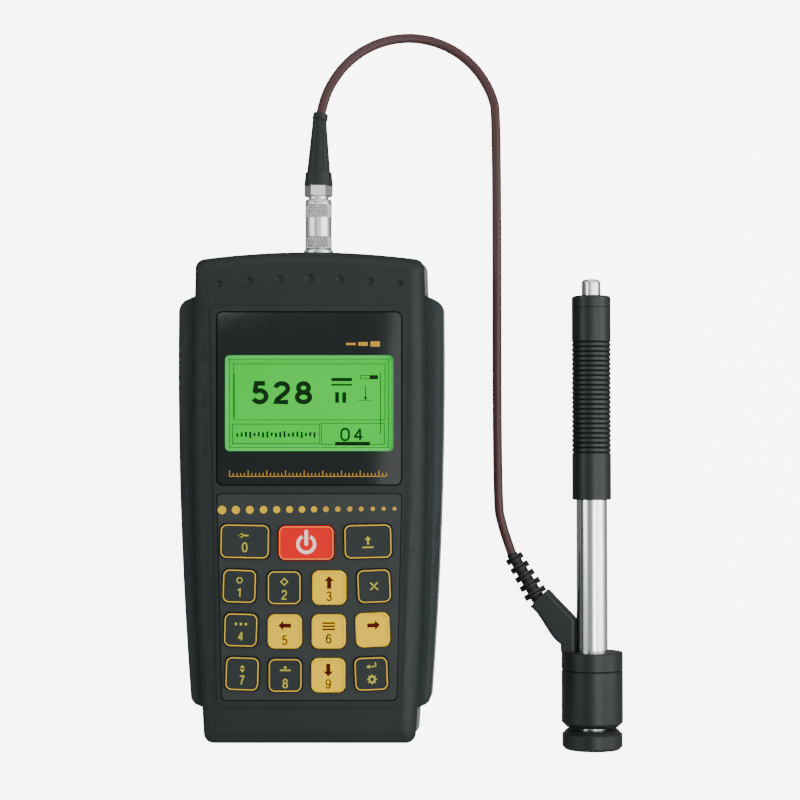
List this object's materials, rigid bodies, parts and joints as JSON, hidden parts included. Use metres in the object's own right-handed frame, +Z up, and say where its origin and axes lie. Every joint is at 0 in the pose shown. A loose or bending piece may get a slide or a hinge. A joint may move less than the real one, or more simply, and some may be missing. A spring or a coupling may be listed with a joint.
{
  "type": "portable hardness tester",
  "caption": "Portable rebound hardness tester: a tapered handset with display and keypad, joined by a short cord to a slim impact probe with a sliding loading sleeve",
  "frame": {"origin": "centre of the handset's flat back, on the surface it lies on", "axes": "+Y runs to the connector end, +X to the probe beside the handset, +Z up out of the display"},
  "size_m": [0.1476, 0.2395, 0.0353],
  "materials": {
    "case": "satin",
    "case_rear": "satin",
    "grip": "matte",
    "window": "gloss",
    "lcd": "gloss",
    "backlight": "matte",
    "keypad": "matte",
    "key_dark": "matte",
    "key_yellow": "satin",
    "key_red": "satin",
    "mat": "matte",
    "board": "satin",
    "buzzer": "satin",
    "nickel": "satin",
    "boot": "matte",
    "cord": "satin",
    "cell": "satin",
    "contact": "satin",
    "screw": "satin",
    "tube": "polished",
    "anodised": "satin",
    "steel": "satin",
    "seat": "satin",
    "winding": "satin",
    "ball": "polished"
  },
  "bodies": {
    "tester": {"front_shell": "case", "rear_shell": "case_rear", "side_grip_left": "grip", "side_grip_right": "grip", "display_window": "window", "lcd_panel": "lcd", "lcd_backlight": "backlight", "keypad_panel": "keypad", "key_mat": "mat", "main_board": "board", "buzzer": "buzzer", "panel_socket": "nickel", "socket_nut": "nickel", "plug_body": "nickel", "plug_collet_nut": "nickel", "plug_boot": "boot", "cord": "cord", "battery_cell_1": "cell", "battery_cell_2": "cell", "contact_bridge": "contact", "contact_positive": "contact", "contact_negative": "contact", "case_screws": "screw", "guide_tube": "tube", "spring_seat": "seat", "loading_spring": "steel", "coil_body": "anodised", "coil_collar": "anodised", "coil_winding": "winding", "cable_relief": "boot"},
    "loading_slide": {"loading_sleeve": "anodised", "sleeve_end_cap": "anodised", "loading_rod": "steel", "catch_chuck": "steel", "impact_spring": "steel", "button_spring": "steel"},
    "release": {"release_button": "steel", "release_pin": "steel"},
    "impactor": {"impact_body": "steel", "impact_ball": "ball"},
    "ring": {"support_ring": "anodised"},
    "door": {"battery_door": "case_rear"},
    "plug_sleeve": {"plug_release_sleeve": "nickel"},
    "key_delete_0_cap": {"key_delete_0": "key_dark"},
    "key_power_cap": {"key_power": "key_red"},
    "key_store_cap": {"key_store": "key_dark"},
    "key_1_cap": {"key_1": "key_dark"},
    "key_2_cap": {"key_2": "key_dark"},
    "key_3_up_cap": {"key_3_up": "key_yellow"},
    "key_escape_cap": {"key_escape": "key_dark"},
    "key_4_cap": {"key_4": "key_dark"},
    "key_5_left_cap": {"key_5_left": "key_yellow"},
    "key_6_menu_cap": {"key_6_menu": "key_yellow"},
    "key_right_cap": {"key_right": "key_yellow"},
    "key_7_cap": {"key_7": "key_dark"},
    "key_8_cap": {"key_8": "key_dark"},
    "key_9_down_cap": {"key_9_down": "key_yellow"},
    "key_enter_cap": {"key_enter": "key_dark"}
  },
  "joints": [
    {"name": "sleeve_slide", "type": "slide", "parent": "tester", "child": "loading_slide", "axis": [0, -0.9995, 0.0313], "range_m": [0, 0.03], "stiffness_N_per_m": 300, "springref_m": -0.01, "deforming": ["loading_spring"]},
    {"name": "release_press", "type": "slide", "parent": "loading_slide", "child": "release", "axis": [0, -0.9995, 0.0313], "range_m": [0, 0.0025], "stiffness_N_per_m": 400, "springref_m": -0.002, "deforming": ["button_spring"]},
    {"name": "impact_slide", "type": "slide", "parent": "tester", "child": "impactor", "axis": [0, -0.9995, 0.0313], "range_m": [-0.03, 0]},
    {"name": "ring_turn", "type": "hinge", "parent": "tester", "child": "ring", "pos_m": [0.0932, -0.0811, 0.01109], "axis": [0, 0.9995, -0.0313], "continuous": true},
    {"name": "door_slide", "type": "slide", "parent": "tester", "child": "door", "axis": [0, -1, 0], "range_m": [0, 0.055]},
    {"name": "plug_unlock", "type": "slide", "parent": "tester", "child": "plug_sleeve", "axis": [0, 1, 0], "range_m": [0, 0.0008], "stiffness_N_per_m": 1200, "springref_m": -0.001},
    {"name": "key_delete_0_press", "type": "slide", "parent": "tester", "child": "key_delete_0_cap", "axis": [0, 0, -1], "range_m": [0, 0.0006], "stiffness_N_per_m": 600, "springref_m": -0.0005},
    {"name": "key_power_press", "type": "slide", "parent": "tester", "child": "key_power_cap", "axis": [0, 0, -1], "range_m": [0, 0.0006], "stiffness_N_per_m": 600, "springref_m": -0.0005},
    {"name": "key_store_press", "type": "slide", "parent": "tester", "child": "key_store_cap", "axis": [0, 0, -1], "range_m": [0, 0.0006], "stiffness_N_per_m": 600, "springref_m": -0.0005},
    {"name": "key_1_press", "type": "slide", "parent": "tester", "child": "key_1_cap", "axis": [0, 0, -1], "range_m": [0, 0.0006], "stiffness_N_per_m": 600, "springref_m": -0.0005},
    {"name": "key_2_press", "type": "slide", "parent": "tester", "child": "key_2_cap", "axis": [0, 0, -1], "range_m": [0, 0.0006], "stiffness_N_per_m": 600, "springref_m": -0.0005},
    {"name": "key_3_up_press", "type": "slide", "parent": "tester", "child": "key_3_up_cap", "axis": [0, 0, -1], "range_m": [0, 0.0006], "stiffness_N_per_m": 600, "springref_m": -0.0005},
    {"name": "key_escape_press", "type": "slide", "parent": "tester", "child": "key_escape_cap", "axis": [0, 0, -1], "range_m": [0, 0.0006], "stiffness_N_per_m": 600, "springref_m": -0.0005},
    {"name": "key_4_press", "type": "slide", "parent": "tester", "child": "key_4_cap", "axis": [0, 0, -1], "range_m": [0, 0.0006], "stiffness_N_per_m": 600, "springref_m": -0.0005},
    {"name": "key_5_left_press", "type": "slide", "parent": "tester", "child": "key_5_left_cap", "axis": [0, 0, -1], "range_m": [0, 0.0006], "stiffness_N_per_m": 600, "springref_m": -0.0005},
    {"name": "key_6_menu_press", "type": "slide", "parent": "tester", "child": "key_6_menu_cap", "axis": [0, 0, -1], "range_m": [0, 0.0006], "stiffness_N_per_m": 600, "springref_m": -0.0005},
    {"name": "key_right_press", "type": "slide", "parent": "tester", "child": "key_right_cap", "axis": [0, 0, -1], "range_m": [0, 0.0006], "stiffness_N_per_m": 600, "springref_m": -0.0005},
    {"name": "key_7_press", "type": "slide", "parent": "tester", "child": "key_7_cap", "axis": [0, 0, -1], "range_m": [0, 0.0006], "stiffness_N_per_m": 600, "springref_m": -0.0005},
    {"name": "key_8_press", "type": "slide", "parent": "tester", "child": "key_8_cap", "axis": [0, 0, -1], "range_m": [0, 0.0006], "stiffness_N_per_m": 600, "springref_m": -0.0005},
    {"name": "key_9_down_press", "type": "slide", "parent": "tester", "child": "key_9_down_cap", "axis": [0, 0, -1], "range_m": [0, 0.0006], "stiffness_N_per_m": 600, "springref_m": -0.0005},
    {"name": "key_enter_press", "type": "slide", "parent": "tester", "child": "key_enter_cap", "axis": [0, 0, -1], "range_m": [0, 0.0006], "stiffness_N_per_m": 600, "springref_m": -0.0005}
  ]
}
